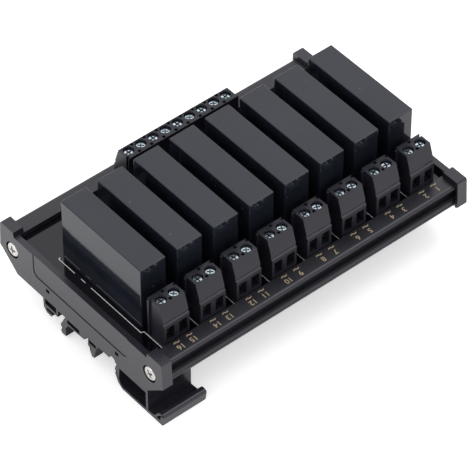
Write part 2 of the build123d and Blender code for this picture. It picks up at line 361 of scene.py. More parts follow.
class NodeSheet:
    """A node tree that is laid out one node after another."""

    def __init__(self, tree: bpy.types.NodeTree) -> None:
        """Starts on a tree.

        Args:
            tree: The node tree to fill.
        """
        self.tree = tree
        self.column = 0

    def add(self, kind: str, **settings: object) -> bpy.types.Node:
        """Adds a node and sets its properties and inputs.

        Args:
            kind: Type of the node, without its common prefix.
            **settings: Values by the name of a property, or of an input with its
                spaces written as underscores.

        Returns:
            The new node.
        """
        node = self.tree.nodes.new(kind if kind.startswith("Node") else "ShaderNode" + kind)
        node.location = (self.column * 200, 0)
        self.column += 1
        for name, value in settings.items():
            socket = node.inputs.get(name.replace("_", " "))
            if socket is not None:
                socket.default_value = value
            else:
                setattr(node, name, value)
        return node

    def join(self, source: Source, target: bpy.types.NodeSocket) -> None:
        """Links an output to an input, or sets the input to a plain value.

        Args:
            source: An output, a number or a colour.
            target: The input.
        """
        if isinstance(source, bpy.types.NodeSocket):
            self.tree.links.new(source, target)
        elif isinstance(source, tuple):
            target.default_value = (*source, 1.0)
        else:
            target.default_value = source

    def coordinates(self) -> bpy.types.NodeSocket:
        """Adds the coordinates of the piece itself."""
        return self.add("TexCoord").outputs["Object"]

    def noise(
        self, place: bpy.types.NodeSocket, scale: Source, **settings: float
    ) -> bpy.types.NodeSocket:
        """Adds a noise.

        Args:
            place: The coordinates it is read at.
            scale: How fine it is.
            **settings: Values of its other inputs.

        Returns:
            The noise.
        """
        node = self.add("TexNoise", **settings)
        self.join(place, node.inputs["Vector"])
        self.join(scale, node.inputs["Scale"])
        return node.outputs["Fac"]

    def blend(
        self, share: bpy.types.NodeSocket, first: Source, second: Source
    ) -> bpy.types.NodeSocket:
        """Mixes two colours by a mask.

        Args:
            share: The mask, 0 for the first colour and 1 for the second.
            first: A colour or a colour output.
            second: A colour or a colour output.

        Returns:
            The mixed colour.
        """
        node = self.add("Mix", data_type="RGBA")
        self.join(share, node.inputs[0])
        self.join(first, node.inputs[6])
        self.join(second, node.inputs[7])
        return node.outputs[2]

    def calc(self, operation: str, *values: Source) -> bpy.types.NodeSocket:
        """Works out a value from others.

        Args:
            operation: What is done with them.
            *values: Outputs and numbers, in the order of the node's inputs.

        Returns:
            The result.
        """
        node = self.add("Math", operation=operation)
        for source, target in zip(values, node.inputs):
            self.join(source, target)
        return node.outputs[0]

    def span(self, value: bpy.types.NodeSocket, low: float, high: float) -> bpy.types.NodeSocket:
        """Stretches a mask of 0 to 1 over a range.

        Args:
            value: The mask.
            low: Result at 0.
            high: Result at 1.

        Returns:
            The stretched value.
        """
        node = self.add("MapRange", To_Min=low, To_Max=high)
        self.join(value, node.inputs["Value"])
        return node.outputs["Result"]


class EffectGroup:
    """A shader node group that several finishes share. It puts out one mask."""

    title = ""
    inputs: dict[str, float] = {}
    output = "Mask"

    @classmethod
    def tree(cls) -> bpy.types.NodeTree:
        """Builds the group once.

        Returns:
            The node group.
        """
        found = bpy.data.node_groups.get(cls.title)
        if found is not None:
            return found
        tree = bpy.data.node_groups.new(cls.title, "ShaderNodeTree")
        for name, value in cls.inputs.items():
            socket = tree.interface.new_socket(name, in_out="INPUT", socket_type="NodeSocketFloat")
            socket.default_value = value
        tree.interface.new_socket(cls.output, in_out="OUTPUT", socket_type="NodeSocketFloat")
        sheet = NodeSheet(tree)
        entry = sheet.add("NodeGroupInput")
        result = cls.draw(sheet, entry)
        sheet.join(result, sheet.add("NodeGroupOutput").inputs[0])
        return tree

    @classmethod
    def draw(cls, sheet: NodeSheet, entry: bpy.types.Node) -> bpy.types.NodeSocket:
        """Lays out the group's nodes.

        Args:
            sheet: The group's tree.
            entry: The group's input node.

        Returns:
            The mask.
        """
        raise NotImplementedError

    @classmethod
    def place(cls, sheet: NodeSheet, **values: float) -> bpy.types.NodeSocket:
        """Places the group in a material.

        Args:
            sheet: The material's tree.
            **values: Values of the group's inputs.

        Returns:
            The mask.
        """
        node = sheet.add("Group")
        node.node_tree = cls.tree()
        for name, value in values.items():
            node.inputs[name].default_value = value
        return node.outputs[0]


class Grain(EffectGroup):
    """Fine spark-eroded grain of a moulding tool."""

    title = "moulded_grain"
    inputs = {"Scale": 2600.0}
    coarse_scale = 900.0
    coarse_share = 0.5

    @classmethod
    def draw(cls, sheet: NodeSheet, entry: bpy.types.Node) -> bpy.types.NodeSocket:
        """Lays out two noises of different size.

        Args:
            sheet: The group's tree.
            entry: The group's input node.

        Returns:
            The height of the grain.
        """
        place = sheet.coordinates()
        fine = sheet.noise(place, entry.outputs["Scale"], Detail=2.0, Roughness=0.6)
        coarse = sheet.noise(place, cls.coarse_scale, Detail=1.0)
        fine_part = sheet.calc("MULTIPLY", fine, 1 - cls.coarse_share)
        return sheet.calc("MULTIPLY_ADD", coarse, cls.coarse_share, fine_part)


class Drift(EffectGroup):
    """Slow change of tone over a surface, as of flow in the mould and of handling."""

    title = "tone_drift"
    inputs = {"Scale": 55.0}

    @classmethod
    def draw(cls, sheet: NodeSheet, entry: bpy.types.Node) -> bpy.types.NodeSocket:
        """Lays out one soft noise.

        Args:
            sheet: The group's tree.
            entry: The group's input node.

        Returns:
            The mask.
        """
        noise = sheet.noise(
            sheet.coordinates(), entry.outputs["Scale"], Detail=4.0, Roughness=0.55, Distortion=0.3
        )
        stretch = sheet.add("MapRange", From_Min=0.3, From_Max=0.7)
        sheet.join(noise, stretch.inputs["Value"])
        return stretch.outputs["Result"]


class Rubbed(EffectGroup):
    """Edges that are rubbed lighter by handling."""

    title = "rubbed_edges"
    inputs = {"Start": 0.52, "End": 0.62}
    patch_scale = 420.0

    @classmethod
    def draw(cls, sheet: NodeSheet, entry: bpy.types.Node) -> bpy.types.NodeSocket:
        """Lays out the mask from how pointed the surface is, broken up by noise.

        Args:
            sheet: The group's tree.
            entry: The group's input node.

        Returns:
            The mask.
        """
        edge = sheet.add("MapRange")
        sheet.join(sheet.add("NewGeometry").outputs["Pointiness"], edge.inputs["Value"])
        sheet.join(entry.outputs["Start"], edge.inputs["From Min"])
        sheet.join(entry.outputs["End"], edge.inputs["From Max"])
        patches = sheet.noise(sheet.coordinates(), cls.patch_scale, Detail=3.0)
        return sheet.calc("MULTIPLY", edge.outputs["Result"], patches)


class Dust(EffectGroup):
    """Single specks of dust."""

    title = "dust_specks"
    inputs = {"Scale": 260.0, "Size": 0.05}
    empty_share = 0.72

    @classmethod
    def draw(cls, sheet: NodeSheet, entry: bpy.types.Node) -> bpy.types.NodeSocket:
        """Lays out one speck in some of the cells of a cell pattern.

        Args:
            sheet: The group's tree.
            entry: The group's input node.

        Returns:
            The mask.
        """
        cells = sheet.add("TexVoronoi")
        sheet.join(sheet.coordinates(), cells.inputs["Vector"])
        sheet.join(entry.outputs["Scale"], cells.inputs["Scale"])
        near = sheet.calc("LESS_THAN", cells.outputs["Distance"], entry.outputs["Size"])
        tint = sheet.add("SeparateColor")
        sheet.join(cells.outputs["Color"], tint.inputs[0])
        some = sheet.calc("GREATER_THAN", tint.outputs[0], cls.empty_share)
        return sheet.calc("MULTIPLY", near, some)


class Strokes(EffectGroup):
    """Fine lines along X, as a die leaves on an extrusion or a brush on metal."""

    title = "drawn_lines"
    inputs = {"Scale": 900.0}
    shrink = 0.02

    @classmethod
    def draw(cls, sheet: NodeSheet, entry: bpy.types.Node) -> bpy.types.NodeSocket:
        """Lays out a noise that is stretched along X.

        Args:
            sheet: The group's tree.
            entry: The group's input node.

        Returns:
            The height of the lines.
        """
        stretch = sheet.add("Mapping", Scale=(cls.shrink, 1.0, 1.0))
        sheet.join(sheet.coordinates(), stretch.inputs["Vector"])
        return sheet.noise(stretch.outputs["Vector"], entry.outputs["Scale"], Detail=2.0)


def new_material(name: str) -> tuple[bpy.types.Material, NodeSheet, bpy.types.Node]:
    """Starts a material.

    Args:
        name: Name of the material.

    Returns:
        The material, its node sheet and its shader node.
    """
    material = bpy.data.materials.new(name)
    material.use_nodes = True
    material.node_tree.nodes.clear()
    sheet = NodeSheet(material.node_tree)
    shader = sheet.add("BsdfPrincipled")
    sheet.join(shader.outputs[0], sheet.add("OutputMaterial").inputs["Surface"])
    return material, sheet, shader


@dataclass(frozen=True)
class Finish:
    """A surface finish. Colours are linear, the depth of its relief is in millimetres."""

    name: str
    colour: Colour
    roughness: float

    def material(self) -> bpy.types.Material:
        """Builds the material, or finds it if it is there.

        Returns:
            The material.
        """
        found = bpy.data.materials.get(self.name)
        if found is not None:
            return found
        material, sheet, shader = new_material(self.name)
        self.draw(sheet, shader)
        return material

    def draw(self, sheet: NodeSheet, shader: bpy.types.Node) -> None:
        """Lays out the finish's nodes.

        Args:
            sheet: The material's tree.
            shader: Its shader node.
        """
        raise NotImplementedError

    def tone(self, factor: float, lift: float = 0.0) -> Colour:
        """Makes the finish's colour darker or lighter.

        Args:
            factor: What the colour is multiplied by.
            lift: What is added to it.

        Returns:
            The new colour.
        """
        red, green, blue = (min(1.0, c * factor + lift) for c in self.colour)
        return red, green, blue

    def spread(
        self, sheet: NodeSheet, mask: bpy.types.NodeSocket, smooth: float, dull: float
    ) -> bpy.types.NodeSocket:
        """Varies the roughness over a mask.

        Args:
            sheet: The material's tree.
            mask: The mask.
            smooth: Share of the finish's roughness where the mask is 0.
            dull: Share of the finish's roughness where the mask is 1.

        Returns:
            The roughness.
        """
        return sheet.span(mask, self.roughness * smooth, min(1.0, self.roughness * dull))

    def link(
        self,
        sheet: NodeSheet,
        shader: bpy.types.Node,
        colour: bpy.types.NodeSocket,
        rough: bpy.types.NodeSocket,
        height: bpy.types.NodeSocket,
        depth: float,
    ) -> None:
        """Links colour, roughness and relief to the shader.

        Args:
            sheet: The material's tree.
            shader: Its shader node.
            colour: The colour.
            rough: The roughness.
            height: The height of the relief, 0 to 1.
            depth: Depth of the relief in millimetres.
        """
        sheet.join(colour, shader.inputs["Base Color"])
        sheet.join(rough, shader.inputs["Roughness"])
        bump = sheet.add("Bump", Strength=1.0, Distance=depth * MM)
        sheet.join(height, bump.inputs["Height"])
        sheet.join(bump.outputs[0], shader.inputs["Normal"])


@dataclass(frozen=True)
class PlasticFinish(Finish):
    """Moulded or extruded plastic, its worn edges a little lighter."""

    specular: float = 0.5
    tint: Colour = (0.93, 0.92, 1.0)
    index: float = 1.5
    grain: float = 0.006
    grain_scale: float = 2600.0
    drift: float = 0.25
    rubbed: float = 0.4
    rubbed_factor: float = 2.2
    rubbed_lift: float = 0.01
    dust: float = 0.0
    dust_colour: Colour = (0.30, 0.30, 0.29)
    drawn: bool = False

    def draw(self, sheet: NodeSheet, shader: bpy.types.Node) -> None:
        """Lays out drift, rubbed edges, dust and grain.

        Args:
            sheet: The material's tree.
            shader: Its shader node.
        """
        shader.inputs["IOR"].default_value = self.index
        shader.inputs["Specular IOR Level"].default_value = self.specular
        shader.inputs["Specular Tint"].default_value = (*self.tint, 1.0)
        drift = Drift.place(sheet)
        colour = sheet.blend(drift, self.tone(1 - self.drift), self.tone(1 + self.drift))
        if self.rubbed:
            share = sheet.calc("MULTIPLY", Rubbed.place(sheet), self.rubbed)
            colour = sheet.blend(share, colour, self.tone(self.rubbed_factor, self.rubbed_lift))
        if self.dust:
            specks = sheet.calc("MULTIPLY", Dust.place(sheet), self.dust)
            colour = sheet.blend(specks, colour, self.dust_colour)
        rough = self.spread(sheet, drift, 0.9, 1.12)
        relief = Strokes.place(sheet) if self.drawn else Grain.place(sheet, Scale=self.grain_scale)
        self.link(sheet, shader, colour, rough, relief, self.grain)


@dataclass(frozen=True)
class MetalFinish(Finish):
    """Plated or tinned metal, darker where it is hollow."""

    grime: float = 0.5
    grime_factor: float = 0.25
    dull_factor: float = 0.72
    drift_scale: float = 900.0
    grain: float = 0.004
    grain_scale: float = 2600.0

    def draw(self, sheet: NodeSheet, shader: bpy.types.Node) -> None:
        """Lays out drift, darkening in the hollows and fine strokes.

        Args:
            sheet: The material's tree.
            shader: Its shader node.
        """
        shader.inputs["Metallic"].default_value = 1.0
        drift = Drift.place(sheet, Scale=self.drift_scale)
        colour = sheet.blend(drift, self.tone(self.dull_factor), self.colour)
        # Darker where the surface is hollow, as read from its pointiness.
        hollow = sheet.add("MapRange", From_Min=0.49, From_Max=0.42)
        sheet.join(sheet.add("NewGeometry").outputs["Pointiness"], hollow.inputs["Value"])
        share = sheet.calc("MULTIPLY", hollow.outputs["Result"], self.grime)
        colour = sheet.blend(share, colour, self.tone(self.grime_factor))
        rough = self.spread(sheet, drift, 0.75, 1.3)
        relief = Strokes.place(sheet, Scale=self.grain_scale)
        self.link(sheet, shader, colour, rough, relief, self.grain)


@dataclass(frozen=True)
class PrintFinish(Finish):
    """Screen-printed ink that covers slightly unevenly."""

    roughness: float = 0.6
    thin_factor: float = 0.75
    drift_scale: float = 1500.0
    grain: float = 0.003

    def draw(self, sheet: NodeSheet, shader: bpy.types.Node) -> None:
        """Lays out the uneven cover and the grain.

        Args:
            sheet: The material's tree.
            shader: Its shader node.
        """
        cover = Drift.place(sheet, Scale=self.drift_scale)
        colour = sheet.blend(cover, self.tone(self.thin_factor), self.colour)
        rough = self.spread(sheet, cover, 0.9, 1.1)
        self.link(sheet, shader, colour, rough, Grain.place(sheet), self.grain)


CARRIER = PlasticFinish(
    "carrier_finish", (0.013, 0.0135, 0.017), 0.34, grain=0.0012, drawn=True, rubbed=0.15
)
# Painted shade: a darker, duller finish for the carrier's grooves and the faces under its lips.
GROOVE_PAINTED_SHADE = PlasticFinish("groove_painted_shade_finish", (0.009, 0.009, 0.012), 0.6, specular=0.08, rubbed=0)
END_PLASTIC = PlasticFinish(
    "end_plate_finish", (0.0135, 0.0127, 0.018), 0.26, grain=0.003, rubbed=0.15
)
HOOK_FLANK = PlasticFinish(
    "hook_flank_finish", (0.0135, 0.0127, 0.018), 0.5, specular=0.2, grain=0.01, rubbed=0
)
RELAY_PLASTIC = PlasticFinish(
    "relay_finish",
    (0.0078, 0.0096, 0.0148),
    0.08,
    specular=0.485,
    grain=0.0002,
    rubbed=0.2,
    dust=0.5,
)
TERMINAL_PLASTIC = PlasticFinish(
    "terminal_finish", (0.0105, 0.0107, 0.016), 0.33, specular=0.38, grain=0.003, rubbed=0.35
)
BOARD_LACQUER = PlasticFinish(
    "board_finish",
    (0.0032, 0.0036, 0.0062),
    0.07,
    specular=0.4,
    grain=0.0004,
    grain_scale=700.0,
    dust=0.4,
    rubbed=0,
)
POTTING = PlasticFinish("potting_finish", (0.03, 0.028, 0.026), 0.25, grain=0.01, rubbed=0)
SCREW_STEEL = MetalFinish("screw_finish", (0.74, 0.72, 0.70), 0.2)
TERMINAL_STEEL = MetalFinish("terminal_screw_finish", (0.52, 0.60, 0.66), 0.15)
CLAMP_METAL = MetalFinish("clamp_finish", (0.66, 0.64, 0.60), 0.32)
PIN_METAL = MetalFinish("pin_finish", (0.70, 0.71, 0.72), 0.28)
SOLDER = MetalFinish("solder_finish", (0.72, 0.73, 0.75), 0.2, grime=0.2)
WHITE_PRINT = PrintFinish("white_print_finish", (0.95, 0.95, 0.95))
TAN_PRINT = PrintFinish("tan_print_finish", (0.37, 0.29, 0.19))


def dress_piece(
    piece: bpy.types.Object, finish: Finish, stands_for: tuple[str, ...] = ()
) -> None:
    """Gives a new piece its finish and ties it to the frame.

    Args:
        piece: The piece.
        finish: Its finish.
        stands_for: The solids that it replaces.
    """
    piece.data.materials.clear()
    piece.data.materials.append(finish.material())
    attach(piece, BODY)
    if stands_for:
        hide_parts(*stands_for)
    LOG.info("%s: %d faces, %s", piece.name, len(piece.data.polygons), finish.name)


def dress_faces(piece: bpy.types.Object, finish: Finish, test: Test) -> None:
    """Gives some faces of a dressed piece a finish of their own.

    Args:
        piece: The piece, with its main finish.
        finish: The second finish.
        test: Called with the centre in millimetres and the normal of each face.
    """
    piece.data.materials.append(finish.material())
    for face in piece.data.polygons:
        if test(face.center / MM, face.normal):
            face.material_index = 1


def dress_node(node: str, finish: Finish) -> None:
    """Gives a solid of the frame its finish.

    Args:
        node: Name of the solid.
        finish: Its finish.
    """
    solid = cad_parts[node]
    if not solid.material_slots:
        solid.data.materials.append(None)
    for slot in solid.material_slots:
        slot.material = finish.material()
    LOG.info("%s: the solid itself, %s", node, finish.name)


# ---------------------------------------------------------------- sub-assemblies


@dataclass
class Layout:
    """The places that the sub-assemblies share, in millimetres."""

    channels: int = 8
    channel_pitch: float = 14.45
    pole_pitch: float = 5.0
    rear_poles: int = 9
    half_length: float = 63.1
    board_top: float = 23.2
    board_thickness: float = 1.6
    profile_half: float = 38.85
    rim_inner: float = 33.1
    rim_rise: float = 2.2
    port_half: float = 34.5
    port_z: float = 18.9
    front_face: float = 32.8
    rear_face: float = 33.0
    screw_inset: float = 4.45
    relay_y: float = -2.05
    relay_pins: tuple[float, ...] = (-15.2, -7.6, 7.6, 12.7)

    def channel_x(self) -> list[float]:
        """Centres of the channels along X."""
        return [self.channel_pitch * (i - (self.channels - 1) / 2) for i in range(self.channels)]

    def front_poles(self) -> list[tuple[float, float]]:
        """Places of the screws in the front terminals."""
        y = self.screw_inset - self.front_face
        half = self.pole_pitch / 2
        return [(x + side * half, y) for x in self.channel_x() for side in (-1, 1)]

    def rear_poles_at(self) -> list[tuple[float, float]]:
        """Places of the screws in the rear strip."""
        y = self.rear_face - self.screw_inset
        middle = (self.rear_poles - 1) / 2
        return [(self.pole_pitch * (i - middle), y) for i in range(self.rear_poles)]

    def pin_places(self) -> list[tuple[float, float]]:
        """Places of the relay pins."""
        return [(x, self.relay_y + y) for x in self.channel_x() for y in self.relay_pins]


LAYOUT = Layout()


@dataclass
class Carrier:
    """The extruded carrier, with its lips undercut and its corners eased."""

    edge_radius: float = 0.15
    lip_half: float = 39.6
    lip_bottom: float = 23.3
    undercut: float = 1.1
    groove_bottom: float = 20.3
    groove_depth: float = 1.4
    groove_sag: float = 0.35
    # Where the painted shade of the grooves reaches in height, in millimetres, and how far up its
    # faces may point.
    dull_below: float = 1.5
    dull_above: float = 1.2
    dull_slope: float = 0.5

    def build(self) -> bpy.types.Object:
        """Copies the solid, shapes both lips and grooves and eases the edges.

        Returns:
            The carrier.
        """
        piece = skin_of("carrier_profile", "carrier_extrusion")
        with editing(piece, Kind.VERTEX):
            for side in (-1, 1):
                pick(
                    piece,
                    Kind.VERTEX,
                    lambda place, normal: place.y * side > self.lip_half - NEAR
                    and abs(place.z - self.lip_bottom) < NEAR,
                )
                bpy.ops.transform.translate(value=(0, -side * self.undercut * MM, 0))
            pick(
                piece,
                Kind.VERTEX,
                lambda place, normal: abs(place.y) > LAYOUT.profile_half - self.groove_depth - NEAR
                and abs(place.z - self.groove_bottom) < NEAR,
            )
            bpy.ops.transform.translate(value=(0, 0, -self.groove_sag * MM))
        soften(piece, self.edge_radius, steps=2, angle=40.0)
        return piece

    def dress(self, piece: bpy.types.Object) -> None:
        """Finishes the carrier; its grooves and the faces under its lips get a darker, duller
        finish as painted shade.
        """
        dress_piece(piece, CARRIER, ("carrier_profile",))
        # Painted shade: the grooves and the faces under the lips get the darker, duller groove
        # finish.
        dress_faces(
            piece,
            GROOVE_PAINTED_SHADE,
            lambda centre, normal: self.groove_bottom - self.dull_below
            < centre.z
            < self.lip_bottom + self.dull_above
            and normal.z < self.dull_slope
            and abs(centre.y) > LAYOUT.profile_half - self.groove_depth,
        )


@dataclass
class EndPlate:
    """An end plate with its hooks and latch, with moulded edges.

    A slot's mouth is given by its lowest and highest Y and Z on the left plate.
    """

    side: Side
    edge_radius: float = 0.14
    pull_radius: float = 0.85
    pull_level: float = 3.4
    pull_rise: float = 2.0
    pull_inner: float = 39.9
    slot_mouths: tuple[tuple[float, float, float, float], ...] = (
        (12.5, 18.2, 7.35, 9.8),
        (0.7, 6.9, 7.5, 9.3),
        (-7.6, -4.1, 7.6, 9.1),
        (15.65, 17.35, 13.6, 15.1),
        (-19.15, -17.45, 13.6, 15.1),
    )
    mouth_depth: float = 3.0
    panel_half: float = 23.9
    panel_low: float = 16.1
    panel_reach: float = 0.42
    panel_share: float = 0.5
    hook_reach: float = 11.5
    hook_top: float = 9.5
    flank_slope: float = 0.6

    def open_slots(self, piece: bpy.types.Object) -> None:
        """Widens the mouths of the slots over the hooks.

        Args:
            piece: The end plate.
        """
        outward = self.side.value
        inner, outer = LAYOUT.half_length - self.mouth_depth, LAYOUT.half_length + OVERCUT
        x_low, x_high = sorted((outward * inner, outward * outer))
        mouths = []
        for near, far, low, high in self.slot_mouths:
            y_low, y_high = sorted((-outward * near, -outward * far))
            mouths.append(add_block("mouth", (x_low, y_low, low), (x_high, y_high, high)))
        cut(piece, mouths)

    def ease_panel(self, piece: bpy.types.Object) -> None:
        """Makes the step round the sunk panel shallow and soft.

        Args:
            piece: The end plate, its edges already rounded.
        """
        with editing(piece, Kind.VERTEX):
            pick(
                piece,
                Kind.VERTEX,
                lambda place, normal: 0.0
                < LAYOUT.half_length - self.side.value * place.x
                < self.panel_reach
                and abs(place.y) < self.panel_half
                and place.z > self.panel_low,
            )
            bpy.ops.transform.resize(
                value=(self.panel_share, 1.0, 1.0),
                center_override=(self.side.value * LAYOUT.half_length * MM, 0.0, 0.0),
            )

    def build(self) -> bpy.types.Object:
        """Copies the solid, rounds the nose of its pull and eases its edges.

        Returns:
            The end plate.
        """
        name = self.side.name.lower()
        piece = skin_of("end_plate_" + name, "end_moulding_" + name)
        self.open_slots(piece)
        with editing(piece, Kind.EDGE):
            pick(
                piece,
                Kind.EDGE,
                lambda centre, run: abs(run.x) > ALONG
                and abs(centre.y) > self.pull_inner
                and self.pull_level < centre.z < self.pull_level + self.pull_rise,
            )
            bpy.ops.mesh.bevel(offset=self.pull_radius * MM, segments=4, affect="EDGES")
        soften(piece, self.edge_radius, steps=2)
        self.ease_panel(piece)
        shade(piece)
        return piece

    def dress(self, piece: bpy.types.Object) -> None:
        """Finishes the end plate, the flanks of its hooks duller."""
        dress_piece(piece, END_PLASTIC, ("end_plate_" + self.side.name.lower(),))
        dress_faces(
            piece,
            HOOK_FLANK,
            lambda centre, normal: abs(centre.y) < self.hook_reach
            and centre.z < self.hook_top
            and normal.y * self.side.value > self.flank_slope,
        )


@dataclass
class CircuitBoard:
    """The glossy board with its printed outlines and its solder joints."""

    line_width: float = 0.23
    print_height: float = 0.02
    relay_outline: float = 1.1
    relay_half: tuple[float, float] = (5.0, 19.65)
    terminal_line: float = 5.1
    corner_tick: float = 0.6
    dash_ends: tuple[float, ...] = (8.2, 11.6, 13.6, 16.6)
    rim_overlap: float = 0.15
    solder_radius: float = 0.95
    solder_height: float = 0.9
    solder_sides: int = 12
    solder_taper: float = 0.5
    solder_edge: float = 0.25
    solder_rim: float = 0.1

    def stripe(self, start: tuple[float, float], end: tuple[float, float]) -> bpy.types.Object:
        """Adds one printed line.

        Args:
            start: One end in X and Y.
            end: The other end in X and Y.

        Returns:
            The line.
        """
        half = self.line_width / 2
        low = (min(start[0], end[0]) - half, min(start[1], end[1]) - half, LAYOUT.board_top)
        high = (
            max(start[0], end[0]) + half,
            max(start[1], end[1]) + half,
            LAYOUT.board_top + self.print_height,
        )
        return add_block("stripe", low, high)

    def build_print(self) -> bpy.types.Object:
        """Prints the broken outline of each relay and the sides of each terminal.

        Returns:
            All printed lines as one piece.
        """
        left = -self.relay_half[0] - self.relay_outline
        right = -left
        rear = LAYOUT.relay_y + self.relay_half[1] + self.relay_outline
        front = LAYOUT.relay_y - self.relay_half[1] - self.relay_outline
        rim = self.rim_overlap - LAYOUT.rim_inner
        side = self.terminal_line
        dash = [rear - end for end in self.dash_ends]
        runs = [
            ((left, rear), (left, dash[0])),
            ((left, dash[1]), (left, dash[2])),
            ((left, dash[3]), (left, front)),
            ((left, rear), (left + self.corner_tick, rear)),
            ((right - self.corner_tick, rear), (right, rear)),
            ((right, rear), (right, front)),
            ((left, front), (-side, front)),
            ((side, front), (right, front)),
            ((-side, front), (-side, rim)),
            ((side, front), (side, rim)),
        ]
        channel = join_all([self.stripe(a, b) for a, b in runs], "channel_print")
        copies = [twin(channel, "channel_print", (x, 0, 0)) for x in LAYOUT.channel_x()]
        remove(channel)
        return join_all(copies, "board_print")

    def build_solder(self) -> bpy.types.Object:
        """Models one solder joint under the board and copies it to every pin.

        Returns:
            All solder joints as one piece.
        """
        tip = LAYOUT.board_top - LAYOUT.board_thickness - self.solder_height
        joint = add_rod(
            "joint", (0, 0, tip), self.solder_radius, self.solder_height, self.solder_sides
        )
        with editing(joint, Kind.FACE):
            pick(joint, Kind.FACE, lambda centre, normal: normal.z < -ALONG)
            bpy.ops.transform.resize(value=(self.solder_taper, self.solder_taper, 1.0))
            bpy.ops.mesh.select_all(action="DESELECT")
            pick(joint, Kind.FACE, lambda centre, normal: normal.z > ALONG)
            bpy.ops.mesh.inset(thickness=self.solder_rim * MM)
        with editing(joint, Kind.EDGE):
            pick(joint, Kind.EDGE, lambda centre, run: abs(centre.z - tip) < NEAR)
            bpy.ops.mesh.bevel(offset=self.solder_edge * MM, segments=2, affect="EDGES")
        shade(joint, 50.0)
        places = LAYOUT.pin_places() + LAYOUT.front_poles() + LAYOUT.rear_poles_at()
        copies = [twin(joint, "joint", (x, y, 0)) for x, y in places]
        remove(joint)
        return join_all(copies, "solder_joints")

    def dress(self, lines: bpy.types.Object, solder: bpy.types.Object) -> None:
        """Finishes the board, its print and its solder."""
        dress_node("circuit_board", BOARD_LACQUER)
        dress_piece(lines, WHITE_PRINT)
        dress_piece(solder, SOLDER)


@dataclass
class RimMarks:
    """The numbers and the wave marks on the top of the front rim.

    The offset moves each mark along X from the middle of its pole.
    """

    digit_height: float = 1.95
    number_from_edge: float = 2.35
    wave_from_edge: float = 4.35
    wave_height: float = 3.0
    thickness: float = 0.02
    boldness: float = 0.04
    offset: float = 1.0
    capital_share: float = 0.7

    def mark(self, body: str, size: float, x: float, y: float) -> bpy.types.Object:
        """Prints one mark, upright when read from the rear.

        Args:
            body: What is printed.
            size: Height of its capitals in millimetres.
            x: Centre along X.
            y: Centre along Y.

        Returns:
            The mark as a mesh.
        """
        start_fresh()
        top = LAYOUT.board_top + LAYOUT.rim_rise
        bpy.ops.object.text_add(location=(x * MM, y * MM, top * MM))
        text = bpy.context.object
        text.data.body = body
        text.data.align_x = "CENTER"
        text.data.align_y = "CENTER"
        text.data.size = size / self.capital_share * MM
        text.data.extrude = self.thickness * MM
        text.data.offset = self.boldness * MM
        text.rotation_euler = (0, 0, math.pi)
        bpy.ops.object.convert(target="MESH")
        piece = bpy.context.object
        settle(piece)
        return piece

    def build(self) -> bpy.types.Object:
        """Prints a number and a wave mark in front of each pole.

        Returns:
            All marks as one piece.
        """
        edge = -LAYOUT.profile_half
        poles = LAYOUT.front_poles()
        marks = []
        for number, (pole, _) in enumerate(reversed(poles), start=1):
            x = pole + self.offset
            marks.append(self.mark(str(number), self.digit_height, x, edge + self.number_from_edge))
            marks.append(self.mark("~", self.wave_height, x, edge + self.wave_from_edge))
        return join_all(marks, "rim_marks")

    def dress(self, piece: bpy.types.Object) -> None:
        """Finishes the marks."""
        dress_piece(piece, TAN_PRINT)


@dataclass
class RelayRow:
    """Eight plain relay cases, each open at the bottom and standing on four feet."""

    width: float = 10.0
    length: float = 39.3
    height: float = 25.8
    standoff: float = 0.4
    wall: float = 0.9
    corner_radius: float = 0.3
    foot_half: float = 0.4
    foot_bite: float = 0.05

    def build(self) -> list[bpy.types.Object]:
        """Models one case and copies it.

        Returns:
            The cases from left to right.
        """
        half_x, half_y = self.width / 2, self.length / 2
        low = LAYOUT.board_top + self.standoff
        top = LAYOUT.board_top + self.height
        case = add_block(
            "relay_case",
            (-half_x, LAYOUT.relay_y - half_y, low),
            (half_x, LAYOUT.relay_y + half_y, top),
        )
        with editing(case, Kind.FACE):
            pick(case, Kind.FACE, lambda centre, normal: normal.z < -ALONG)
            bpy.ops.mesh.inset(thickness=self.wall * MM)
            depth = self.height - self.standoff - self.wall
            bpy.ops.mesh.extrude_region_move(
                TRANSFORM_OT_translate={"value": (0, 0, depth * MM)}
            )
        inner_x = half_x - self.wall
        inner_y = half_y - self.wall
        half = self.foot_half
        feet = []
        for side_x, side_y in product((-1, 1), repeat=2):
            x = side_x * (inner_x + self.foot_bite)
            y = LAYOUT.relay_y + side_y * (inner_y + self.foot_bite)
            foot_low = (x - half, y - half, LAYOUT.board_top)
            feet.append(add_block("foot", foot_low, (x + half, y + half, low + half)))
        fuse(case, feet)
        with editing(case, Kind.EDGE):
            pick(
                case,
                Kind.EDGE,
                lambda centre, run: centre.z > top - NEAR
                or (
                    abs(run.z) > ALONG
                    and abs(centre.x) > half_x - NEAR
                    and centre.z > low + self.foot_half
                ),
            )
            bpy.ops.mesh.bevel(offset=self.corner_radius * MM, segments=3, affect="EDGES")
        shade(case, 40.0)
        cases = [
            twin(case, "relay_case_" + str(number), (x, 0, 0))
            for number, x in enumerate(LAYOUT.channel_x(), start=1)
        ]
        remove(case)
        return cases

    def dress(self, cases: list[bpy.types.Object]) -> None:
        """Finishes the cases, the potting and the pins."""
        for number, case in enumerate(cases, start=1):
            dress_piece(case, RELAY_PLASTIC, ("relay_" + str(number),))
        dress_node("relay_potting", POTTING)
        dress_node("relay_pins", PIN_METAL)


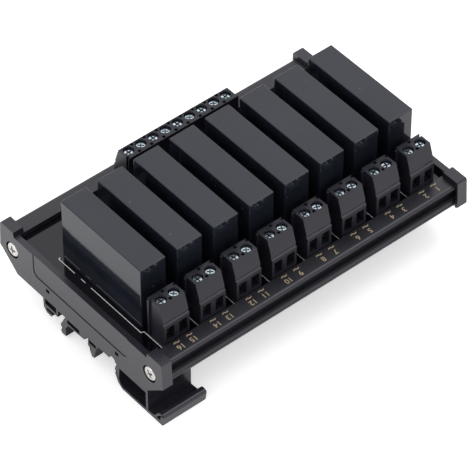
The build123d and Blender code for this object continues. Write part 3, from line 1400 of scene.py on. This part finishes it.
@dataclass
class TerminalBlock:
    """A screw terminal housing. It is modelled with its wire face at Y = 0."""

    poles: int
    depth: float = 7.65
    height: float = 17.3
    ledge: float = 10.1
    ledge_rise: float = 0.3
    ledge_step: float = 0.6
    slope_start: float = 11.9
    slope_top: float = 2.35
    well_radius: float = 1.85
    well_overlap: float = 0.5
    cavity: float = 3.8
    cavity_height: float = 12.9
    entry_width: float = 3.1
    entry_sill: float = 3.4
    entry_height: float = 5.2
    rib_inset: float = 6.9
    rib_reach: float = 0.7
    rib_half: float = 0.4
    rib_foot: float = 1.5
    rib_play: float = 0.08
    rib_gap: float = 0.1
    rib_root: float = 0.5
    recess_places: tuple[float, float] = (3.0, 6.9)
    recess_half: float = 0.5
    recess_depth: float = 1.5
    edge_radius: float = 0.14

    def offsets(self) -> list[float]:
        """Places of the poles along X."""
        return [LAYOUT.pole_pitch * (i - (self.poles - 1) / 2) for i in range(self.poles)]

    def shape_body(self, half: float) -> bpy.types.Object:
        """Shapes the plain body with its ledge and its slope.

        Args:
            half: Half its width.

        Returns:
            The body.
        """
        body = add_block("terminal", (-half, 0, 0), (half, self.depth, self.height))
        with editing(body, Kind.VERTEX):
            for level in (self.ledge, self.ledge + self.ledge_rise):
                bpy.ops.mesh.select_all(action="SELECT")
                bpy.ops.mesh.bisect(plane_co=(0, 0, level * MM), plane_no=(0, 0, 1))
            bpy.ops.mesh.select_all(action="DESELECT")
            pick(
                body,
                Kind.VERTEX,
                lambda place, normal: place.y < NEAR and place.z > self.ledge + NEAR,
            )
            bpy.ops.transform.translate(value=(0, self.ledge_step * MM, 0))
            rise = self.height - self.slope_start
            run = self.slope_top - self.ledge_step
            bpy.ops.mesh.select_all(action="SELECT")
            bpy.ops.mesh.bisect(
                plane_co=(0, self.ledge_step * MM, self.slope_start * MM),
                plane_no=Vector((0, -rise, run)).normalized(),
                use_fill=True,
                clear_outer=True,
            )
        return body

    def build(self) -> bpy.types.Object:
        """Models the housing with its wells, wire entries, rib and groove.

        Returns:
            The housing.
        """
        offsets = self.offsets()
        half = self.poles * LAYOUT.pole_pitch / 2
        body = self.shape_body(half)
        rib = add_block(
            "rib",
            (-half - self.rib_reach, self.rib_inset - self.rib_half, self.rib_foot),
            (-half + self.rib_root, self.rib_inset + self.rib_half, self.height - self.rib_half),
        )
        fuse(body, [rib])
        slack = self.rib_half + self.rib_play
        above = self.height + OVERCUT
        groove = add_block(
            "groove",
            (half - self.rib_reach - self.rib_gap, self.rib_inset - slack, -OVERCUT),
            (half + OVERCUT, self.rib_inset + slack, above),
        )
        cutters = [groove]
        reach = self.cavity / 2
        middle = LAYOUT.screw_inset
        for x in offsets:
            chamber = add_block(
                "chamber",
                (x - reach, middle - reach, -OVERCUT),
                (x + reach, middle + reach, self.cavity_height),
            )
            well_foot = (x, middle, self.cavity_height - self.well_overlap)
            well = add_rod("well", well_foot, self.well_radius, self.height)
            entry = add_block(
                "entry",
                (x - self.entry_width / 2, -OVERCUT, self.entry_sill),
                (x + self.entry_width / 2, middle, self.entry_sill + self.entry_height),
            )
            cutters += [chamber, well, entry]
        for a, b in zip(offsets, offsets[1:]):
            x = (a + b) / 2
            side = self.recess_half
            for y in self.recess_places:
                low = (x - side, y - side, self.height - self.recess_depth)
                cutters.append(add_block("recess", low, (x + side, y + side, above)))
        cut(body, cutters)
        soften(body, self.edge_radius, steps=2)
        return body


@dataclass
class Screw:
    """A cross-recess screw, modelled upright with the top of its head at Z = 0."""

    head_radius: float
    head_height: float
    shank_radius: float
    length: float
    cross_length: float
    cross_width: float
    cross_depth: float
    dome: float
    cross_taper: float = 0.55
    cross_rise: float = 0.5

    def build(self, name: str) -> bpy.types.Object:
        """Models the screw.

        Args:
            name: Name of the piece.

        Returns:
            The screw.
        """
        screw = add_rod(name, (0, 0, -self.head_height), self.head_radius, self.head_height, 32)
        with editing(screw, Kind.EDGE):
            pick(screw, Kind.EDGE, lambda centre, run: centre.z > -NEAR)
            bpy.ops.mesh.bevel(offset=self.dome * MM, segments=3, affect="EDGES")
        with editing(screw, Kind.FACE):
            pick(screw, Kind.FACE, lambda centre, normal: normal.z < -ALONG)
            bpy.ops.mesh.inset(thickness=(self.head_radius - self.shank_radius) * MM)
            bpy.ops.mesh.extrude_region_move(
                TRANSFORM_OT_translate={"value": (0, 0, (self.head_height - self.length) * MM)}
            )
        arms = []
        long, short = self.cross_length / 2, self.cross_width / 2
        for x, y in ((long, short), (short, long)):
            arm = add_block("arm", (-x, -y, -self.cross_depth), (x, y, self.cross_rise))
            with editing(arm, Kind.FACE):
                pick(arm, Kind.FACE, lambda centre, normal: normal.z < -ALONG)
                bpy.ops.transform.resize(value=(self.cross_taper, self.cross_taper, 1.0))
            arms.append(arm)
        cut(screw, arms)
        shade(screw, 35.0)
        return screw


@dataclass
class Terminals:
    """The front terminals, the rear strip and the metal in them."""

    front: TerminalBlock = field(default_factory=lambda: TerminalBlock(2))
    rear: TerminalBlock = field(default_factory=lambda: TerminalBlock(LAYOUT.rear_poles))
    screw: Screw = field(
        default_factory=lambda: Screw(
            head_radius=1.7,
            head_height=1.25,
            shank_radius=1.15,
            length=6.9,
            cross_length=2.6,
            cross_width=0.66,
            cross_depth=0.95,
            dome=0.28,
        )
    )
    head_drop: float = 0.95
    screw_turn: float = 47.0

    def build_front(self) -> list[bpy.types.Object]:
        """Models one front terminal and copies it.

        Returns:
            The front terminals from left to right.
        """
        block = self.front.build()
        blocks = [
            twin(block, "front_housing_" + str(number), (x, -LAYOUT.front_face, LAYOUT.board_top))
            for number, x in enumerate(LAYOUT.channel_x(), start=1)
        ]
        remove(block)
        return blocks

    def build_rear(self) -> bpy.types.Object:
        """Models the rear strip, its wire face to the rear.

        Returns:
            The strip.
        """
        block = self.rear.build()
        strip = twin(block, "rear_housing", (0, LAYOUT.rear_face, LAYOUT.board_top), 180.0)
        remove(block)
        return strip

    def build_screws(self, name: str, places: list[tuple[float, float]]) -> bpy.types.Object:
        """Copies a screw to every place, each turned its own way.

        Args:
            name: Name of the set.
            places: Places in X and Y.

        Returns:
            The screws as one piece.
        """
        screw = self.screw.build("terminal_screw")
        top = LAYOUT.board_top + self.front.height - self.head_drop
        copies = [
            twin(screw, "screw", (x, y, top), self.screw_turn * index % 90.0)
            for index, (x, y) in enumerate(places)
        ]
        remove(screw)
        return join_all(copies, name)

    def dress(
        self,
        blocks: list[bpy.types.Object],
        strip: bpy.types.Object,
        front_screws: bpy.types.Object,
        rear_screws: bpy.types.Object,
    ) -> None:
        """Finishes the housings and their metal."""
        for number, block in enumerate(blocks, start=1):
            dress_piece(
                block, TERMINAL_PLASTIC, ("front_terminal_" + str(number),)
            )
        dress_piece(strip, TERMINAL_PLASTIC, ("rear_terminal_strip",))
        dress_piece(front_screws, TERMINAL_STEEL, ("front_terminal_screws",))
        dress_piece(rear_screws, TERMINAL_STEEL, ("rear_terminal_screws",))
        for row in ("front", "rear"):
            dress_node(row + "_terminal_clamps", CLAMP_METAL)
            dress_node(row + "_terminal_pins", PIN_METAL)


@dataclass
class PlateScrews:
    """The two screws of one end plate, heads outwards."""

    side: Side
    screw: Screw = field(
        default_factory=lambda: Screw(
            head_radius=2.7,
            head_height=1.3,
            shank_radius=1.25,
            length=10.3,
            cross_length=3.7,
            cross_width=0.9,
            cross_depth=1.15,
            dome=0.7,
        )
    )
    turns: tuple[float, float] = (12.0, 30.0)

    def build(self) -> bpy.types.Object:
        """Models one screw, lays it down and copies it to both ports.

        Returns:
            The two screws as one piece.
        """
        upright = self.screw.build("plate_screw")
        outward = self.side.value
        lay = Matrix.Rotation(outward * math.pi / 2, 4, "Y")
        face = outward * LAYOUT.half_length * MM
        copies = []
        for y, turn in zip((LAYOUT.port_half, -LAYOUT.port_half), self.turns):
            copy = twin(upright, "plate_screw", turn=turn)
            copy.data.transform(Matrix.Translation((face, y * MM, LAYOUT.port_z * MM)) @ lay)
            copies.append(copy)
        remove(upright)
        return join_all(copies, "plate_screw_pair_" + self.side.name.lower())

    def dress(self, piece: bpy.types.Object) -> None:
        """Finishes the screws."""
        name = "plate_screws_" + self.side.name.lower()
        dress_piece(piece, SCREW_STEEL, (name,))


# ---------------------------------------------------------------- studio and camera


@dataclass(frozen=True)
class SoftBox:
    """A square soft box. Lengths are in millimetres, power is in watts."""

    name: str
    place: Point
    size: float
    power: float
    aim: Point = (0.0, 0.0, 20.0)

    def hang(self) -> None:
        """Hangs the box and turns it to what it lights."""
        lamp = bpy.data.lights.new(self.name, "AREA")
        lamp.shape = "SQUARE"
        lamp.size = self.size * MM
        lamp.energy = self.power
        box = bpy.data.objects.new(self.name, lamp)
        box.location = Vector(self.place) * MM
        direction = (Vector(self.aim) - Vector(self.place)).normalized()
        box.rotation_euler = direction.to_track_quat("-Z", "Y").to_euler()
        bpy.context.scene.collection.objects.link(box)


@dataclass
class Studio:
    """A pale floor under a white sky, with three soft boxes.

    The floor is lifted towards white where the camera sees it, and less where a
    gloss mirrors it, so that it keeps the object's shadow in both.
    """

    floor_half: float = 3000.0
    floor_thickness: float = 40.0
    floor_edge: float = 20.0
    floor_colour: float = 0.8
    floor_drift: float = 0.99
    floor_lift: float = 0.48
    mirror_lift: float = 0.33
    sky_strength: float = 1.0
    boxes: tuple[SoftBox, ...] = (
        SoftBox("rear_box", (640, 560, 900), 800, 0.8),
        SoftBox("top_box", (450, -130, 900), 420, 1.7),
        SoftBox("left_box", (-760, 120, 420), 500, 1.1),
    )

    def build_floor(self) -> bpy.types.Object:
        """Lays the floor, its far edges rounded.

        Returns:
            The floor.
        """
        half = self.floor_half
        floor = add_block("floor", (-half, -half, -self.floor_thickness), (half, half, 0.0))
        with editing(floor, Kind.EDGE):
            pick(floor, Kind.EDGE, lambda centre, run: centre.z > -NEAR)
            bpy.ops.mesh.bevel(offset=self.floor_edge * MM, segments=4, affect="EDGES")
        material, sheet, shader = new_material("studio_floor")
        tone = Drift.place(sheet, Scale=3.0)
        low, high = self.floor_colour * self.floor_drift, self.floor_colour
        colour = sheet.blend(tone, (low, low, low), (high, high, high))
        sheet.join(colour, shader.inputs["Base Color"])
        shader.inputs["Roughness"].default_value = 1.0
        shader.inputs["Specular IOR Level"].default_value = 0.0
        rays = sheet.add("LightPath").outputs
        mirrored = sheet.calc("MAXIMUM", rays["Is Glossy Ray"], rays["Is Transmission Ray"])
        seen = sheet.calc("MULTIPLY", rays["Is Camera Ray"], self.floor_lift)
        lift = sheet.calc("MAXIMUM", seen, sheet.calc("MULTIPLY", mirrored, self.mirror_lift))
        shader.inputs["Emission Color"].default_value = (1, 1, 1, 1)
        sheet.join(lift, shader.inputs["Emission Strength"])
        floor.data.materials.clear()
        floor.data.materials.append(material)
        return floor

    def hang_sky(self) -> None:
        """Sets a plain white sky."""
        world = bpy.data.worlds.new("studio_sky")
        world.use_nodes = True
        back = world.node_tree.nodes["Background"]
        back.inputs["Color"].default_value = (1.0, 1.0, 1.0, 1.0)
        back.inputs["Strength"].default_value = self.sky_strength
        bpy.context.scene.world = world

    def build(self) -> None:
        """Sets up the floor, the sky and the soft boxes."""
        self.build_floor()
        self.hang_sky()
        for box in self.boxes:
            box.hang()
        LOG.info("studio: floor, sky and %d soft boxes", len(self.boxes))


@dataclass
class Viewpoint:
    """The camera of the photograph. Lengths are in millimetres, angles in degrees."""

    place: Point = (-507.88, -606.91, 824.11)
    azimuth: float = -39.93
    elevation: float = 45.77
    roll: float = -0.08
    lens: float = 270.41
    sensor: float = 36.0
    nearest: float = 50.0
    farthest: float = 20000.0

    def build(self) -> None:
        """Adds the camera and makes it the scene's own."""
        turn, tilt = math.radians(self.azimuth), math.radians(self.elevation)
        back = Vector(
            (
                math.sin(turn) * math.cos(tilt),
                -math.cos(turn) * math.cos(tilt),
                math.sin(tilt),
            )
        )
        right = Vector((math.cos(turn), math.sin(turn), 0.0))
        up = back.cross(right)
        axes = Matrix((right, up, back)).transposed().to_4x4()
        view = bpy.data.cameras.new("camera")
        view.lens = self.lens
        view.sensor_width = self.sensor
        view.clip_start = self.nearest * MM
        view.clip_end = self.farthest * MM
        camera = bpy.data.objects.new("camera", view)
        camera.matrix_world = (
            Matrix.Translation(Vector(self.place) * MM)
            @ axes
            @ Matrix.Rotation(math.radians(self.roll), 4, "Z")
        )
        bpy.context.scene.collection.objects.link(camera)
        bpy.context.scene.camera = camera
        LOG.info("camera at %s mm", self.place)


def main() -> None:
    """Builds every sub-assembly in order."""
    logging.basicConfig(level=logging.INFO, format="%(name)s %(message)s")
    bpy.context.scene.view_settings.view_transform = "Standard"
    Viewpoint().build()
    Studio().build()

    carrier = Carrier()
    carrier.dress(carrier.build())
    for side in Side:
        plate = EndPlate(side)
        plate.dress(plate.build())
        screws = PlateScrews(side)
        screws.dress(screws.build())

    board = CircuitBoard()
    board.dress(board.build_print(), board.build_solder())
    marks = RimMarks()
    marks.dress(marks.build())

    relays = RelayRow()
    relays.dress(relays.build())

    terminals = Terminals()
    terminals.dress(
        terminals.build_front(),
        terminals.build_rear(),
        terminals.build_screws("front_screw_set", LAYOUT.front_poles()),
        terminals.build_screws("rear_screw_set", LAYOUT.rear_poles_at()),
    )
    start_fresh()


if __name__ == "__main__":
    main()
